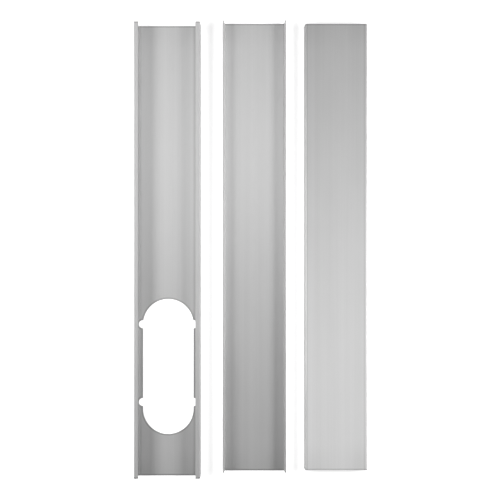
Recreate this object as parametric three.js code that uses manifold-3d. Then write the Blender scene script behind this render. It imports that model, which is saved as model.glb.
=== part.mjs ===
// A window seal kit for the exhaust hose of a portable air conditioner, laid out on a flat surface.
//
// Three extruded PVC plates close the gap beside a sash that is left ajar. The hose plate is a
// wide, shallow channel whose edges turn in over it as two lips, and it has the notched opening
// that takes the flat mouth of the hose adaptor. The two slide plates are one narrower section, a
// web with plain flanges that lean outwards. Each pushes into one end of the hose plate, where
// the lips hold its flange tips down, and draws out to the length that the window needs. Here all
// three lie apart: the hose plate and the upper slide plate with their channels up, and the lower
// slide plate turned over, with its grained outer face up.
//
// Millimetres. X runs across the plates, Y along them and Z up from the surface they lie on. The
// origin is on that surface, under the middle of the whole layout.

import * as THREE from 'three';
import { mergeVertices } from 'three/addons/utils/BufferGeometryUtils.js';
import Module from 'manifold-3d';

// ---- Driving dimensions -----------------------------------------------------------------------

const wall = 1.5; // every web, side, flange and lip of the extrusions

const hosePlateLength = 675;
const hosePlateWidth = 98;
const hosePlateHeight = 18;
const lipWidth = 6.7; // from the outer face of the side to the tip of the lip
const hoseInsideRadius = 0.5; // inside the hose plate's four bends

const upperPlateLength = 671;
const lowerPlateLength = 662;
const flangeLeanDegrees = 6.5; // of the slide plates' flanges, outwards from square
const slideInsideRadius = 1.5; // inside the bend where a slide plate's flange leaves its web
const sidePlay = 0.5; // between a slide plate's flange tip and the side of the hose plate
const lipPlay = 1.4; // between its flange tip and the lip above

const openingWidth = 76.2;
const openingLength = 203.2;
const openingFromEnd = 62; // from the hose plate's lower end to the opening
const notchRadius = 6.25; // the round notches that the hooks of the hose adaptor drop into
const notchSpacing = 117; // from the upper pair of notches to the lower pair

const gapBesideHosePlate = 33.5; // between the plates as they lie, at their widest
const gapBesideUpperPlate = 27.5;
const upperPlateShift = 5.5; // how far the middle of each slide plate lies above the hose plate's
const lowerPlateShift = 4.8;

// ---- Sizes that follow from them --------------------------------------------------------------

const slidePlateWidth = hosePlateWidth - 2 * (wall + sidePlay);
const slidePlateHeight = hosePlateHeight - 2 * wall - lipPlay;

const FOLD_SEGMENTS = 6; // each bend and each rounded tip of a section has twice as many steps
const OPENING_SEGMENTS = 24; // and so has each half turn of the hose opening
const PUNCH_REACH = 1; // how far the punch for the opening runs past each face of the web

// ---- Sections ---------------------------------------------------------------------------------

// The outline of a strip of even thickness that is folded up on both sides of a flat web. The
// right half is given as its bends, from the web outwards, and the round tip that ends it. Each is
// a centre with the angles at which its outer arc starts and ends, turning left.
function foldedStrip(rightBends, rightTip, insideRadius) {
  const mirrored = ({ x, y, from, to }) => ({ x: -x, y, from: Math.PI - to, to: Math.PI - from });
  const bends = [...rightBends.map(mirrored).reverse(), ...rightBends];
  const outline = new THREE.Shape();

  const addTip = ({ x, y, from, to }) => outline.absarc(x, y, wall / 2, from, to);

  bends.forEach(({ x, y, from, to }) => outline.absarc(x, y, insideRadius + wall, from, to));
  addTip(rightTip);
  bends.reverse().forEach(({ x, y, from, to }) => outline.absarc(x, y, insideRadius, to, from, true));
  addTip(mirrored(rightTip));
  return outline;
}

// The hose plate: a web, two square sides and two lips that turn in over the channel.
function hosePlateSection() {
  const outsideRadius = hoseInsideRadius + wall;
  const bendX = hosePlateWidth / 2 - outsideRadius;
  const bendAtWeb = { x: bendX, y: outsideRadius, from: -Math.PI / 2, to: 0 };
  const bendAtLip = { x: bendX, y: hosePlateHeight - outsideRadius, from: 0, to: Math.PI / 2 };
  const lipTip = {
    x: hosePlateWidth / 2 - lipWidth + wall / 2,
    y: hosePlateHeight - wall / 2,
    from: Math.PI / 2,
    to: 1.5 * Math.PI,
  };
  return foldedStrip([bendAtWeb, bendAtLip], lipTip, hoseInsideRadius);
}

// A slide plate: a web and two plain flanges that lean outwards, with no lips.
function slidePlateSection() {
  const lean = THREE.MathUtils.degToRad(flangeLeanDegrees);
  const outsideRadius = slideInsideRadius + wall;
  const flangeTip = {
    x: slidePlateWidth / 2 - wall / 2,
    y: slidePlateHeight - wall / 2,
    from: -lean,
    to: Math.PI - lean,
  };
  // The bend sits where its outer arc touches the line of the flange's outer face.
  const flangeRun = flangeTip.y - outsideRadius;
  const bendToTip = (outsideRadius - wall / 2 + flangeRun * Math.sin(lean)) / Math.cos(lean);
  const bend = { x: flangeTip.x - bendToTip, y: outsideRadius, from: -Math.PI / 2, to: -lean };
  return foldedStrip([bend], flangeTip, slideInsideRadius);
}

// ---- Plates -----------------------------------------------------------------------------------

// A section drawn out along Y, with its middle over the origin and the outer face of its web at Z = 0.
function extrudedPlate(section, length) {
  const settings = { depth: length, bevelEnabled: false, curveSegments: FOLD_SEGMENTS };
  return new THREE.ExtrudeGeometry(section, settings)
    .rotateX(Math.PI / 2)
    .translate(0, length / 2, 0);
}

const wasm = await Module();
wasm.setup();

// A closed geometry as a solid that can be cut.
function solidFrom(geometry) {
  const positionsOnly = new THREE.BufferGeometry();
  positionsOnly.setAttribute('position', geometry.getAttribute('position'));
  positionsOnly.setIndex(geometry.getIndex());
  const merged = mergeVertices(positionsOnly);
  return new wasm.Manifold(
    new wasm.Mesh({
      numProp: 3,
      vertProperties: merged.getAttribute('position').array,
      triVerts: new Uint32Array(merged.getIndex().array),
    }),
  );
}

// A solid as a geometry with flat faces.
function geometryFrom(solid) {
  const { vertProperties, triVerts, numProp } = solid.getMesh();
  const indexed = new THREE.BufferGeometry();
  indexed.setAttribute('position', new THREE.BufferAttribute(vertProperties, numProp));
  indexed.setIndex(new THREE.BufferAttribute(triVerts, 1));
  const geometry = indexed.toNonIndexed();
  geometry.computeVertexNormals();
  return geometry;
}

// What is punched out of the hose plate's web: a slot with round ends, and a pair of round notches
// in its straight sides at two heights. The upper pair is level with the centre of the slot's
// upper end.
function openingPunch() {
  const endRadius = openingWidth / 2;
  const lowerCentreY = openingFromEnd + endRadius - hosePlateLength / 2;
  const upperCentreY = lowerCentreY + openingLength - openingWidth;
  const depth = wall + 2 * PUNCH_REACH;

  const slotOutline = new THREE.Shape()
    .absarc(0, upperCentreY, endRadius, 0, Math.PI)
    .absarc(0, lowerCentreY, endRadius, Math.PI, 2 * Math.PI);
  const settings = { depth, bevelEnabled: false, curveSegments: OPENING_SEGMENTS };
  const slot = new THREE.ExtrudeGeometry(slotOutline, settings).translate(0, 0, -PUNCH_REACH);

  const notchAt = (x, y) =>
    new THREE.CylinderGeometry(notchRadius, notchRadius, depth, 2 * OPENING_SEGMENTS)
      .rotateX(Math.PI / 2)
      .translate(x, y, depth / 2 - PUNCH_REACH);

  return [upperCentreY, upperCentreY - notchSpacing]
    .flatMap((y) => [notchAt(-endRadius, y), notchAt(endRadius, y)])
    .reduce((punch, notch) => punch.add(solidFrom(notch)), solidFrom(slot));
}

function hosePlateGeometry() {
  const blank = solidFrom(extrudedPlate(hosePlateSection(), hosePlateLength));
  return geometryFrom(blank.subtract(openingPunch()));
}

const slidePlateGeometry = (length) => extrudedPlate(slidePlateSection(), length);

// ---- Layout -----------------------------------------------------------------------------------

const pvc = { color: 0xc8c9ca, metalness: 0 };
const smoothPvc = new THREE.MeshStandardMaterial({ ...pvc, roughness: 0.4 }); // inside the channels
const grainedPvc = new THREE.MeshStandardMaterial({ ...pvc, roughness: 0.7 }); // on the outer faces

const hosePlate = new THREE.Mesh(hosePlateGeometry(), smoothPvc);
hosePlate.name = 'hose_plate';

const upperPlate = new THREE.Mesh(slidePlateGeometry(upperPlateLength), smoothPvc);
upperPlate.name = 'upper_slide_plate';
const upperPlateX = (hosePlateWidth + slidePlateWidth) / 2 + gapBesideHosePlate;
upperPlate.position.set(upperPlateX, upperPlateShift, 0);

const lowerPlate = new THREE.Mesh(slidePlateGeometry(lowerPlateLength), grainedPvc);
lowerPlate.name = 'lower_slide_plate';
const lowerPlateX = upperPlateX + slidePlateWidth + gapBesideUpperPlate;
lowerPlate.position.set(lowerPlateX, lowerPlateShift, slidePlateHeight);
lowerPlate.rotation.y = Math.PI; // on its flange tips, with the web on top

// The middle of the outline that the three plates cover comes over the origin.
const layout = new THREE.Group().add(hosePlate, upperPlate, lowerPlate);
const middle = new THREE.Box3().setFromObject(layout).getCenter(new THREE.Vector3());
layout.position.set(-middle.x, -middle.y, 0);

export default new THREE.Group().add(layout);
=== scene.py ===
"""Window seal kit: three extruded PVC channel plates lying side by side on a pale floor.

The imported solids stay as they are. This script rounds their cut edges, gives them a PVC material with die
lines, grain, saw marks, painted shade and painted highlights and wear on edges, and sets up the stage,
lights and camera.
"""

import math

import bmesh
import bpy
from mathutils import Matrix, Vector


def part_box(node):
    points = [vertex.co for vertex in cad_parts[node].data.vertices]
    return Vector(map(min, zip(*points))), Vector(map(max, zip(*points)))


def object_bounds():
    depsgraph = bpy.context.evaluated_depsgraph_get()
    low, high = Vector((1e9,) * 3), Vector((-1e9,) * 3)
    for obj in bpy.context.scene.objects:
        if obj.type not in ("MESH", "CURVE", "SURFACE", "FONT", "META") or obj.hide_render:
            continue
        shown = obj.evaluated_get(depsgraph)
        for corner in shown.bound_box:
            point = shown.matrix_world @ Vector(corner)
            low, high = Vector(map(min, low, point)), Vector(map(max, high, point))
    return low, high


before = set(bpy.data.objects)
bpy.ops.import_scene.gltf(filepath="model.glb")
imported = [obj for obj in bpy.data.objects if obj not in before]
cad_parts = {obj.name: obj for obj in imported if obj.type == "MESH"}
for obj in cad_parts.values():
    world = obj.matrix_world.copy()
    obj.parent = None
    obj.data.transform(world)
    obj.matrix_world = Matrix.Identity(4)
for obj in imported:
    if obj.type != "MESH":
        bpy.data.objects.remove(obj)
for name in ("Cube", "Camera", "Light"):
    if name in bpy.data.objects:
        bpy.data.objects.remove(bpy.data.objects[name])
cad_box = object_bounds()

MM = 0.001

# The three plates. An open plate lies with its channel up, the other one is turned over.
HOSE_PLATE = "hose_plate"
UPPER_PLATE = "upper_slide_plate"
LOWER_PLATE = "lower_slide_plate"

# Camera: straight down, as a copy stand holds it.
SENSOR_WIDTH = 36.0
VIEW_WIDTH = 751.4 * MM
CAMERA_HEIGHT = 918.0 * MM  # above the upper faces of the open plates' webs, where the view is that wide
WEB_TOP = 1.5 * MM
CAMERA_X = -1.6 * MM
CAMERA_Y = -57.7 * MM
CAMERA_SHIFT_Y = 0.076

# Stage and light
FLOOR_SIZE = 8.0
FLOOR_DROP = 0.2 * MM
FLOOR_COLOR = (0.66, 0.66, 0.66, 1.0)
GLOW_NEAR, GLOW_FAR = 0.4, 1.0  # of the floor, for the eye only: round the plates, and far off
GLOW_NEAR_RADIUS, GLOW_FAR_RADIUS = 0.45, 1.1
WORLD_STRENGTH = 0.02

# Each plate has the same three lamps round it, turned with it: a long strip on either side and a
# square softbox over its upper half. Places are from the middle of the plate.
STRIP_SIZE = (0.5, 0.2)
STRIP_DISTANCE = 0.8
LEFT_ELEVATION, RIGHT_ELEVATION = math.radians(34), math.radians(31)
STRIP_Y = 0.1
TOP_SIZE = (0.5, 0.5)
TOP_X, TOP_Y = 0.1, 0.4
TOP_HEIGHT = 1.25
WATTS = {  # of the left strip, the right strip and the top
    HOSE_PLATE: (3.57, 2.23, 6.8),
    UPPER_PLATE: (2.87, 3.56, 5.4),
    LOWER_PLATE: (3.65, 2.8, 7.8),
}

# PVC, as linear colour. Tone 0.5 is the plain colour, and 0 and 1 are this share darker and lighter.
PVC_COLOR = (0.575, 0.575, 0.575)
PLAIN_TONE = 0.5
TONE_SPAN = 0.42
PLAIN_ROUGHNESS = 0.40
PVC_IOR = 1.53

# What each mark on the plastic adds to the tone, to the roughness and, in metres, to the height.
TONE = {
    "die_lines": 0.12,
    "bands": 0.16,
    "mottle": 0.09,
    "speckle": 0.13,
    "cut": -0.16,
    "saw_marks": 0.36,
    # painted edge shade beside the sawn ends and the hose opening
    "rim_shade": -0.34,
    # painted shade near the ends and along the sides
    "end_and_side_shade": -0.09,
    # painted shade lines beside the lips, flanges and bends, and painted light under the hose plate's left
    # lip
    "line": -0.22,
    # painted light on the lips and flange tips
    "raised": 0.05,
    # painted light on the upright inner walls
    "wall": 0.45,
    # painted highlight and wear on the tips and bends
    "highlight_and_wear": 0.45,
}
ROUGHNESS = {
    "die_lines": 0.14,
    "mottle": 0.06,
    "grained": 0.16,
    "rubs": 0.07,
    "cut": 0.25,
    "wall": -0.20,
    "highlight_and_wear": 0.08,
}
RELIEF = {
    "die_lines": 0.014 * MM,
    "bands": 0.05 * MM,
    "grain": 0.055 * MM,
    "saw_marks": 0.05 * MM,
}

# Noise patterns: cells per metre along X, Y and Z, detail, roughness and an offset of their own. Die
# lines run the whole length, and the bands between them are the die's broader marks.
PATTERNS = {
    "die_lines": ((950.0, 2.5, 950.0), 3.0, 0.6, 0.0),
    "bands": ((75.0, 0.6, 75.0), 1.0, 0.5, 7.0),
    "mottle": ((22.0, 9.0, 22.0), 2.0, 0.5, 13.0),
    "speckle": ((1300.0, 1300.0, 1300.0), 1.0, 0.5, 19.0),
    "grain": ((1900.0, 1700.0, 1900.0), 3.0, 0.65, 29.0),
    "saw_marks": ((260.0, 400.0, 3200.0), 2.0, 0.5, 37.0),
    "rubs": ((60.0, 14.0, 60.0), 4.0, 0.7, 43.0),
}
OFFSET_STEP = 3.7  # from one plate's patterns to the next one's
RUB_SPOTS = (0.10, 0.24)  # of the rubs pattern: where the plastic is a little duller

# Edges over the sharp angle are rounded, and edges under the smooth angle are shaded smooth.
EDGE_ROUNDING = 0.25 * MM
SHARP_ANGLE = math.radians(50)
SMOOTH_ANGLE = math.radians(30)
WELD_DISTANCE = 0.001 * MM

# In the marks below, a pair is where the mark starts and where it is full.

# Faces are told apart by how they lie. The last two pairs are how far from the plate's side the web
# begins, and how far above the web the lips and flange tips are.
OUTER_FACES = (-0.5 * MM, 0.5 * MM)
SAWN_FACES = (0.6, 0.8)
UPRIGHT_FACES = (0.5, 0.3)
WEB_FROM_SIDE = (5.0 * MM, 7.0 * MM)
RAISED = (2.5 * MM, 6.0 * MM)

# The rim is the last bit of skin beside a sawn end or the punched opening, darkened with painted edge
# shade.
CUT_RIM = (3.0 * MM, 1.2 * MM)
LOWER_RIM = 1.6  # at the open plates' lower ends, as a share of that at the upper ones

# Painted shade near the ends, deeper away from the plate's centre line.
SHADED_END = (45.0 * MM, 4.5 * MM)
SHADED_SIDES = (5.0 * MM, 35.0 * MM)
SHADE_IN_MIDDLE = 0.4  # on the centre line, as a share of that at the sides
LOWER_SIDE_SHADE = 1.5  # along the sides of the open plates' lower halves, as a share of that at the ends

# Painted highlight and wear on the tips and bends. A tip is where the faces within a millimetre look
# another way.
TIP_ROUNDING = 1.0 * MM
TIP_LIKENESS = (0.995, 0.86)
BEND_OFF_UPRIGHT = (0.1, 0.35)
BEND_OFF_LEVEL = (0.99, 0.9)
BEND_OFF_END = (0.25, 0.1)
HIGHLIGHT_AND_WEAR_SPOTS = (-0.35, 0.05)  # of the mottle pattern
HIGHLIGHT_AND_WEAR_GROWS = (40.0 * MM, 220.0 * MM)  # from a slide plate's end
HIGHLIGHT_AND_WEAR_AT_END = 0.3

# The hose opening, from the middle of the hose plate: a slot with round ends and four notches.
SLOT_Y = -175.65 * MM
SLOT_RADIUS = 38.1 * MM
SLOT_HALF_STRAIGHT = 63.5 * MM
NOTCHES_Y = -170.65 * MM
NOTCH_HALF_SPACING = 58.5 * MM
NOTCH_RADIUS = 6.25 * MM

# Painted shade lies along the hose plate's web beside the lips, with painted light on the web under the
# left lip. On a slide plate painted shade lies on the right, beside the flange, and along a dark line in
# each outer bend.
SHADE_RIGHT = (35.5 * MM, 39.5 * MM)
SHADE_LEFT = (39.0 * MM, 40.5 * MM)
SHADE_LEFT_STOPS = (42.5 * MM, 42.0 * MM)
LEFT_HALF = (0.0, 1.0 * MM)
UNDER_LIP = (42.0 * MM, 43.0 * MM)
LEFT_SHADE = 0.5
LIGHT_UNDER_LIP = -0.8
SHADE_BY_FLANGE = (28.0 * MM, 36.0 * MM)
FLANGE_SHADE = 0.3
BEND_SHADE_OFFSET, BEND_SHADE_SHIFT = 42.2 * MM, -0.8 * MM
BEND_SHADE_WIDTH = (1.1 * MM, 0.44 * MM)
BEND_SHADE = 0.8


# ---------------------------------------------------------------------------------------------------
# Shader helpers
# ---------------------------------------------------------------------------------------------------

class Shader:
    """Adds nodes to one node tree. A value may be a socket or a plain number."""

    def __init__(self, tree):
        self.tree = tree
        tree.nodes.clear()

    def add(self, kind, **settings):
        node = self.tree.nodes.new(kind)
        for key, value in settings.items():
            setattr(node, key, value)
        return node

    def plug(self, value, socket):
        if isinstance(value, bpy.types.NodeSocket):
            self.tree.links.new(value, socket)
        else:
            socket.default_value = value

    def math(self, operation, *values, clamp=False):
        node = self.add("ShaderNodeMath", operation=operation, use_clamp=clamp)
        for value, socket in zip(values, node.inputs):
            self.plug(value, socket)
        return node.outputs[0]

    def total(self, *values):
        result = values[0]
        for value in values[1:]:
            result = self.math("ADD", result, value)
        return result

    def product(self, *values):
        result = values[0]
        for value in values[1:]:
            result = self.math("MULTIPLY", result, value)
        return result

    def step(self, value, low, high):
        """0 below low, 1 above high, smooth between. low may be the larger one."""
        node = self.add("ShaderNodeMapRange", interpolation_type="SMOOTHSTEP")
        self.plug(value, node.inputs["Value"])
        node.inputs["From Min"].default_value = min(low, high)
        node.inputs["From Max"].default_value = max(low, high)
        node.inputs["To Min"].default_value = 0.0 if low < high else 1.0
        node.inputs["To Max"].default_value = 1.0 if low < high else 0.0
        return node.outputs["Result"]

    def rest(self, share):
        """What a share leaves of 1: nothing where it is over 1."""
        return self.math("SUBTRACT", 1.0, share, clamp=True)

    def between(self, low, high, share):
        """low where the share is 0, high where it is 1."""
        return self.total(low, self.product(share, high - low))

    def weighed(self, marks, weights):
        """The sum of the marks that have a weight, each times that weight."""
        return self.total(*(self.product(marks[name], weight) for name, weight in weights.items()))

    def off(self, value, middle):
        """How far a value is from a middle, whichever way."""
        return self.math("ABSOLUTE", self.math("SUBTRACT", value, middle))

    def reach(self, x, y):
        """The length of a flat vector."""
        return self.math("SQRT", self.math("ADD", self.product(x, x), self.product(y, y)))

    def noise(self, vector, cells_per_metre, detail, roughness, offset):
        """Noise from about -0.5 to 0.5, with its own number of cells per metre along X, Y and Z."""
        mapping = self.add("ShaderNodeMapping")
        mapping.inputs["Scale"].default_value = cells_per_metre
        mapping.inputs["Location"].default_value = (offset, offset, offset)
        self.plug(vector, mapping.inputs["Vector"])
        node = self.add("ShaderNodeTexNoise", noise_dimensions="3D")
        node.inputs["Scale"].default_value = 1.0
        node.inputs["Detail"].default_value = detail
        node.inputs["Roughness"].default_value = roughness
        self.plug(mapping.outputs[0], node.inputs["Vector"])
        return self.math("SUBTRACT", node.outputs["Fac"], 0.5)


# ---------------------------------------------------------------------------------------------------
# PVC
# ---------------------------------------------------------------------------------------------------

class PlatePoint:
    """The point that is shaded, in its plate's own coordinates: Y runs along the extrusion."""

    def __init__(self, shader, node_name):
        low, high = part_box(node_name)
        centre_x, centre_y, centre_z = ((a + b) / 2 for a, b in zip(low, high))
        half_width = (high[0] - low[0]) / 2
        half_length = (high[1] - low[1]) / 2
        coordinates = shader.add("ShaderNodeTexCoord")
        place = shader.add("ShaderNodeSeparateXYZ")
        shader.plug(coordinates.outputs["Object"], place.inputs[0])
        facing = shader.add("ShaderNodeSeparateXYZ")
        shader.plug(coordinates.outputs["Normal"], facing.inputs[0])

        self.plate = node_name
        self.open_up = node_name != LOWER_PLATE
        self.position = coordinates.outputs["Object"]
        self.y = place.outputs["Y"]
        self.across = shader.math("SUBTRACT", place.outputs["X"], centre_x)
        self.aside = shader.math("ABSOLUTE", self.across)
        self.from_side = shader.math("SUBTRACT", half_width, self.aside)
        self.from_end = shader.math("SUBTRACT", half_length, shader.off(self.y, centre_y))
        self.above_middle = shader.math("SUBTRACT", place.outputs["Z"], centre_z)
        self.from_web = shader.off(place.outputs["Z"], low[2] if self.open_up else high[2])
        self.to_lower_end = shader.step(self.y, 0.0, centre_y - half_length + CUT_RIM[0])
        self.facing_x = facing.outputs["X"]
        self.facing_z = facing.outputs["Z"]
        self.endwise = shader.math("ABSOLUTE", facing.outputs["Y"])
        self.level = shader.math("ABSOLUTE", self.facing_z)


def face_marks(shader, point):
    """Tells apart cut faces, the grained skin outside, the smooth walls inside and what is raised."""
    # Faces that look away from the middle of the channel are outer ones.
    outward = shader.total(shader.product(point.facing_x, point.across),
                           shader.product(point.facing_z, point.above_middle))
    outer = shader.step(outward, *OUTER_FACES)
    sawn_end = shader.step(point.endwise, *SAWN_FACES)
    upright = shader.step(point.level, *UPRIGHT_FACES)
    in_web = shader.step(point.from_side, *WEB_FROM_SIDE)
    cut = shader.math("MAXIMUM", sawn_end, shader.product(upright, in_web))
    skin = shader.rest(cut)
    grained = shader.product(outer, skin)
    return {
        "outer": outer,
        "in_web": in_web,
        "cut": cut,
        "grained": grained,
        "wall": shader.product(upright, shader.math("SUBTRACT", skin, grained)),
        "raised": shader.step(point.from_web, *RAISED),
    }


def from_opening(shader, point):
    """How far a point of the hose plate's web is from the edge of the hose opening."""
    past_straight = shader.math("MAXIMUM", 0.0, shader.math("SUBTRACT", shader.off(point.y, SLOT_Y),
                                                            SLOT_HALF_STRAIGHT))
    from_slot = shader.math("SUBTRACT", shader.reach(point.across, past_straight), SLOT_RADIUS)
    notch_x = shader.off(point.aside, SLOT_RADIUS)
    notch_y = shader.off(shader.off(point.y, NOTCHES_Y), NOTCH_HALF_SPACING)
    from_notch = shader.math("SUBTRACT", shader.reach(notch_x, notch_y), NOTCH_RADIUS)
    return shader.math("MINIMUM", from_slot, from_notch)


def painted_rim_shade(shader, point, low_lying):
    """The painted edge shade beside the sawn ends and the hose opening. It may go over 1 at a lower end."""
    rim_shade = shader.step(point.from_end, *CUT_RIM)
    if point.open_up:
        rim_shade = shader.product(rim_shade, shader.between(1.0, LOWER_RIM, point.to_lower_end))
    if point.plate == HOSE_PLATE:
        beside_opening = shader.step(from_opening(shader, point), *CUT_RIM)
        rim_shade = shader.math("MAXIMUM", rim_shade, shader.product(beside_opening, low_lying))
    return rim_shade


def painted_end_and_side_shade(shader, point, low_lying):
    """Painted shade near the ends and, in the open plates, along the sides of the lower half."""
    sides = shader.step(point.aside, *SHADED_SIDES)
    end_and_side_shade = shader.product(shader.step(point.from_end, *SHADED_END),
                            shader.between(SHADE_IN_MIDDLE, 1.0, sides))
    if point.open_up:
        end_and_side_shade = shader.total(end_and_side_shade, shader.product(point.to_lower_end, sides, LOWER_SIDE_SHADE))
    return shader.product(end_and_side_shade, low_lying)


def hose_plate_shade_lines(shader, point, inside):
    """Painted shade along the web beside the lips, and painted light on the web under the left lip."""
    to_left = shader.product(point.across, -1.0)
    left_lip_shade = shader.product(shader.step(to_left, *SHADE_LEFT), shader.step(to_left, *SHADE_LEFT_STOPS))
    under_left_lip = shader.product(shader.step(point.aside, *UNDER_LIP), shader.step(to_left, *LEFT_HALF))
    lip_shade_and_light = shader.total(shader.step(point.across, *SHADE_RIGHT), shader.product(left_lip_shade, LEFT_SHADE),
                        shader.product(under_left_lip, LIGHT_UNDER_LIP))
    return shader.product(lip_shade_and_light, inside)


def slide_plate_shade_lines(shader, point, outer, inside):
    """Painted shade: a dark line in each outer bend, and a band beside the right flange."""
    # painted shade along the outer bends and beside the right flange
    from_bend_shade = shader.off(shader.off(point.across, BEND_SHADE_SHIFT), BEND_SHADE_OFFSET)
    return shader.total(
        shader.product(shader.step(from_bend_shade, *BEND_SHADE_WIDTH), outer, BEND_SHADE),
        shader.product(shader.step(point.across, *SHADE_BY_FLANGE), inside, FLANGE_SHADE))


def tip_highlight_and_wear(shader, point, marks):
    """Painted highlight and wear on the tips and the bends, more in some places than in others."""
    rounded = shader.add("ShaderNodeBevel", samples=8)
    rounded.inputs["Radius"].default_value = TIP_ROUNDING
    geometry = shader.add("ShaderNodeNewGeometry")
    likeness = shader.add("ShaderNodeVectorMath", operation="DOT_PRODUCT")
    shader.plug(rounded.outputs[0], likeness.inputs[0])
    shader.plug(geometry.outputs["Normal"], likeness.inputs[1])
    tip = shader.product(shader.step(likeness.outputs["Value"], *TIP_LIKENESS), marks["raised"])
    bend = shader.product(marks["outer"], shader.rest(marks["in_web"]),
                          shader.step(point.level, *BEND_OFF_UPRIGHT),
                          shader.step(point.level, *BEND_OFF_LEVEL),
                          shader.step(point.endwise, *BEND_OFF_END))
    highlight_and_wear = shader.product(shader.math("MAXIMUM", tip, bend), shader.rest(marks["rim_shade"]),
                          shader.step(marks["mottle"], *HIGHLIGHT_AND_WEAR_SPOTS))
    if point.plate != HOSE_PLATE:
        further_in = shader.step(point.from_end, *HIGHLIGHT_AND_WEAR_GROWS)
        highlight_and_wear = shader.product(highlight_and_wear, shader.between(HIGHLIGHT_AND_WEAR_AT_END, 1.0, further_in))
    return highlight_and_wear


def pvc_marks(shader, plate, offset):
    """Every mark on a plate's plastic, by name."""
    point = PlatePoint(shader, plate)
    marks = {name: shader.noise(point.position, cells, detail, roughness, offset + own_offset)
             for name, (cells, detail, roughness, own_offset) in PATTERNS.items()}
    marks.update(face_marks(shader, point))
    low_lying = shader.rest(marks["raised"])
    inside = shader.product(low_lying, shader.rest(marks["outer"]))
    marks["rim_shade"] = painted_rim_shade(shader, point, low_lying)
    marks["end_and_side_shade"] = painted_end_and_side_shade(shader, point, low_lying)
    if plate == HOSE_PLATE:
        marks["line"] = hose_plate_shade_lines(shader, point, inside)
    else:
        marks["line"] = slide_plate_shade_lines(shader, point, marks["outer"], inside)
    marks["highlight_and_wear"] = tip_highlight_and_wear(shader, point, marks)
    marks["rubs"] = shader.step(marks["rubs"], *RUB_SPOTS)
    for pattern, where in (("speckle", "grained"), ("grain", "grained"), ("saw_marks", "cut")):
        marks[pattern] = shader.product(marks[pattern], marks[where])
    return marks


def pvc_material(plate, offset):
    """Rigid grey PVC as it leaves the die: smooth inside the channel, finely grained outside."""
    material = bpy.data.materials.new(f"pvc_{plate}")
    material.use_nodes = True
    shader = Shader(material.node_tree)
    marks = pvc_marks(shader, plate, offset)

    tone = shader.math("ADD", PLAIN_TONE, shader.weighed(marks, TONE), clamp=True)
    color = shader.add("ShaderNodeMix", data_type="RGBA")
    shader.plug(tone, color.inputs["Factor"])
    color.inputs["A"].default_value = (*(c * (1 - TONE_SPAN) for c in PVC_COLOR), 1.0)
    color.inputs["B"].default_value = (*(c * (1 + TONE_SPAN) for c in PVC_COLOR), 1.0)
    roughness = shader.math("ADD", PLAIN_ROUGHNESS, shader.weighed(marks, ROUGHNESS))
    bump = shader.add("ShaderNodeBump")
    bump.inputs["Strength"].default_value = 1.0
    bump.inputs["Distance"].default_value = 1.0
    shader.plug(shader.weighed(marks, RELIEF), bump.inputs["Height"])

    surface = shader.add("ShaderNodeBsdfPrincipled")
    surface.inputs["IOR"].default_value = PVC_IOR
    shader.plug(color.outputs["Result"], surface.inputs["Base Color"])
    shader.plug(roughness, surface.inputs["Roughness"])
    shader.plug(bump.outputs[0], surface.inputs["Normal"])
    output = shader.add("ShaderNodeOutputMaterial")
    shader.plug(surface.outputs[0], output.inputs["Surface"])
    return material


# ---------------------------------------------------------------------------------------------------
# Mesh dressing
# ---------------------------------------------------------------------------------------------------

def smooth_group():
    """Geometry nodes that join split corners and shade every edge under a small angle smooth."""
    group = bpy.data.node_groups.new("smooth_by_angle", "GeometryNodeTree")
    group.interface.new_socket("Geometry", in_out="INPUT", socket_type="NodeSocketGeometry")
    group.interface.new_socket("Geometry", in_out="OUTPUT", socket_type="NodeSocketGeometry")
    nodes, links = group.nodes, group.links
    source = nodes.new("NodeGroupInput")
    merge = nodes.new("GeometryNodeMergeByDistance")
    merge.inputs["Distance"].default_value = WELD_DISTANCE
    strip = nodes.new("GeometryNodeRemoveAttribute")
    strip.inputs["Name"].default_value = "custom_normal"
    faces = nodes.new("GeometryNodeSetShadeSmooth")
    edges = nodes.new("GeometryNodeSetShadeSmooth")
    edges.domain = "EDGE"
    angle = nodes.new("GeometryNodeInputMeshEdgeAngle")
    soft = nodes.new("FunctionNodeCompare")
    soft.operation = "LESS_THAN"
    soft.inputs["B"].default_value = SMOOTH_ANGLE
    sink = nodes.new("NodeGroupOutput")
    links.new(source.outputs[0], merge.inputs["Geometry"])
    links.new(merge.outputs[0], strip.inputs["Geometry"])
    links.new(strip.outputs[0], faces.inputs["Geometry"])
    links.new(faces.outputs[0], edges.inputs["Geometry"])
    links.new(angle.outputs["Unsigned Angle"], soft.inputs["A"])
    links.new(soft.outputs[0], edges.inputs["Shade Smooth"])
    links.new(edges.outputs[0], sink.inputs[0])
    return group


def dress(plate, material, group):
    """Rounds the plate's sharp edges and puts its material on."""
    smooth = plate.modifiers.new("smooth", "NODES")
    smooth.node_group = group
    bevel = plate.modifiers.new("edges", "BEVEL")
    bevel.width = EDGE_ROUNDING
    bevel.segments = 2
    bevel.limit_method = "ANGLE"
    bevel.angle_limit = SHARP_ANGLE
    bevel.harden_normals = True
    for slot in plate.material_slots:
        slot.material = material


smoothing = smooth_group()
for number, plate in enumerate((HOSE_PLATE, UPPER_PLATE, LOWER_PLATE)):
    dress(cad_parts[plate], pvc_material(plate, number * OFFSET_STEP), smoothing)


# ---------------------------------------------------------------------------------------------------
# Stage, lights and camera
# ---------------------------------------------------------------------------------------------------

def background_share(shader):
    """1 for rays that see the background itself, or see it in gloss or glass."""
    rays = shader.add("ShaderNodeLightPath")
    return shader.math("MINIMUM", shader.total(rays.outputs["Is Camera Ray"], rays.outputs["Is Glossy Ray"],
                                               rays.outputs["Is Transmission Ray"]), 1.0)


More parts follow.
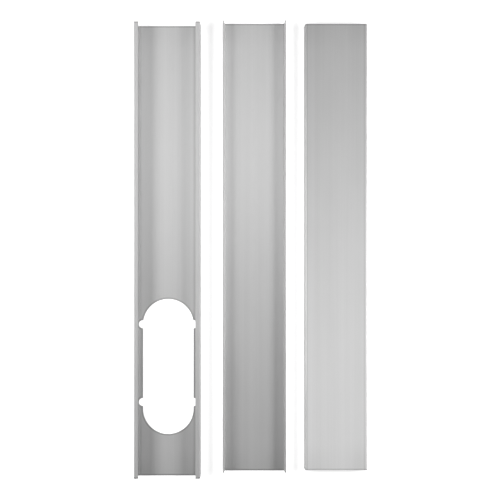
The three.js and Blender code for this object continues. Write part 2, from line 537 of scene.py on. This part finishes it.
def make_floor():
    mesh = bpy.data.meshes.new("floor")
    shape = bmesh.new()
    bmesh.ops.create_grid(shape, x_segments=1, y_segments=1, size=FLOOR_SIZE / 2)
    bmesh.ops.translate(shape, verts=shape.verts, vec=(0.0, 0.0, cad_box[0][2] - FLOOR_DROP))
    shape.to_mesh(mesh)
    shape.free()
    floor = bpy.data.objects.new("floor", mesh)
    bpy.context.scene.collection.objects.link(floor)
    material = bpy.data.materials.new("floor")
    material.use_nodes = True
    shader = Shader(material.node_tree)
    surface = shader.add("ShaderNodeBsdfDiffuse")
    surface.inputs["Color"].default_value = FLOOR_COLOR
    coordinates = shader.add("ShaderNodeTexCoord")
    radius = shader.add("ShaderNodeVectorMath", operation="LENGTH")
    shader.plug(coordinates.outputs["Object"], radius.inputs[0])
    far = shader.step(radius.outputs["Value"], GLOW_NEAR_RADIUS, GLOW_FAR_RADIUS)
    strength = shader.between(GLOW_NEAR, GLOW_FAR, far)
    glow = shader.add("ShaderNodeEmission")
    shader.plug(shader.product(background_share(shader), strength), glow.inputs["Strength"])
    both = shader.add("ShaderNodeAddShader")
    shader.plug(surface.outputs[0], both.inputs[0])
    shader.plug(glow.outputs[0], both.inputs[1])
    output = shader.add("ShaderNodeOutputMaterial")
    shader.plug(both.outputs[0], output.inputs["Surface"])
    mesh.materials.append(material)
    return floor


def light_world():
    """Even white light from all round, on a background that looks plain white."""
    world = bpy.data.worlds.new("studio")
    bpy.context.scene.world = world
    world.use_nodes = True
    shader = Shader(world.node_tree)
    background = shader.add("ShaderNodeBackground")
    background.inputs["Color"].default_value = (1.0, 1.0, 1.0, 1.0)
    strength = shader.between(WORLD_STRENGTH, 1.0, background_share(shader))
    shader.plug(strength, background.inputs["Strength"])
    output = shader.add("ShaderNodeOutputWorld")
    shader.plug(background.outputs[0], output.inputs["Surface"])


def softbox(name, location, target, size, watts, lit):
    """An area lamp that lights the objects of one collection only."""
    lamp = bpy.data.lights.new(name, "AREA")
    lamp.shape = "RECTANGLE"
    lamp.size, lamp.size_y = size
    lamp.energy = watts
    box = bpy.data.objects.new(name, lamp)
    box.location = location
    box.rotation_euler = (target - location).to_track_quat("-Z", "Y").to_euler()
    box.visible_camera = False
    box.light_linking.receiver_collection = lit
    bpy.context.scene.collection.objects.link(box)


def light_plate(node_name, also_lit=()):
    """The three lamps of one plate. On the plate that lies turned over they are turned with it."""
    lit = bpy.data.collections.new(f"{node_name}_lit")
    for thing in (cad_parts[node_name], *also_lit):
        lit.objects.link(thing)
    low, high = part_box(node_name)
    middle = Vector(((low[0] + high[0]) / 2, 0.0, 0.0))
    turn = -1 if node_name == LOWER_PLATE else 1
    left, right, top = WATTS[node_name]
    beside = middle + turn * Vector((0.0, STRIP_Y, 0.0))
    for side, way, elevation, watts in (("left", -1, LEFT_ELEVATION, left),
                                        ("right", 1, RIGHT_ELEVATION, right)):
        location = beside + STRIP_DISTANCE * Vector((turn * way * math.cos(elevation), 0.0,
                                                     math.sin(elevation)))
        softbox(f"{node_name}_{side}_strip", location, beside, STRIP_SIZE, watts, lit)
    location = middle + Vector((turn * TOP_X, turn * TOP_Y, TOP_HEIGHT))
    softbox(f"{node_name}_top", location, middle, TOP_SIZE, top, lit)


def place_camera():
    camera = bpy.data.cameras.new("camera")
    camera.sensor_width = SENSOR_WIDTH
    camera.lens = SENSOR_WIDTH * CAMERA_HEIGHT / VIEW_WIDTH
    camera.shift_y = CAMERA_SHIFT_Y
    camera.clip_start = 0.01
    holder = bpy.data.objects.new("camera", camera)
    holder.location = (CAMERA_X, CAMERA_Y, WEB_TOP + CAMERA_HEIGHT)
    bpy.context.scene.collection.objects.link(holder)
    bpy.context.scene.camera = holder


light_world()
floor = make_floor()
light_plate(HOSE_PLATE)
light_plate(UPPER_PLATE, also_lit=[floor])
light_plate(LOWER_PLATE, also_lit=[floor])
place_camera()
bpy.context.scene.view_settings.view_transform = "Standard"
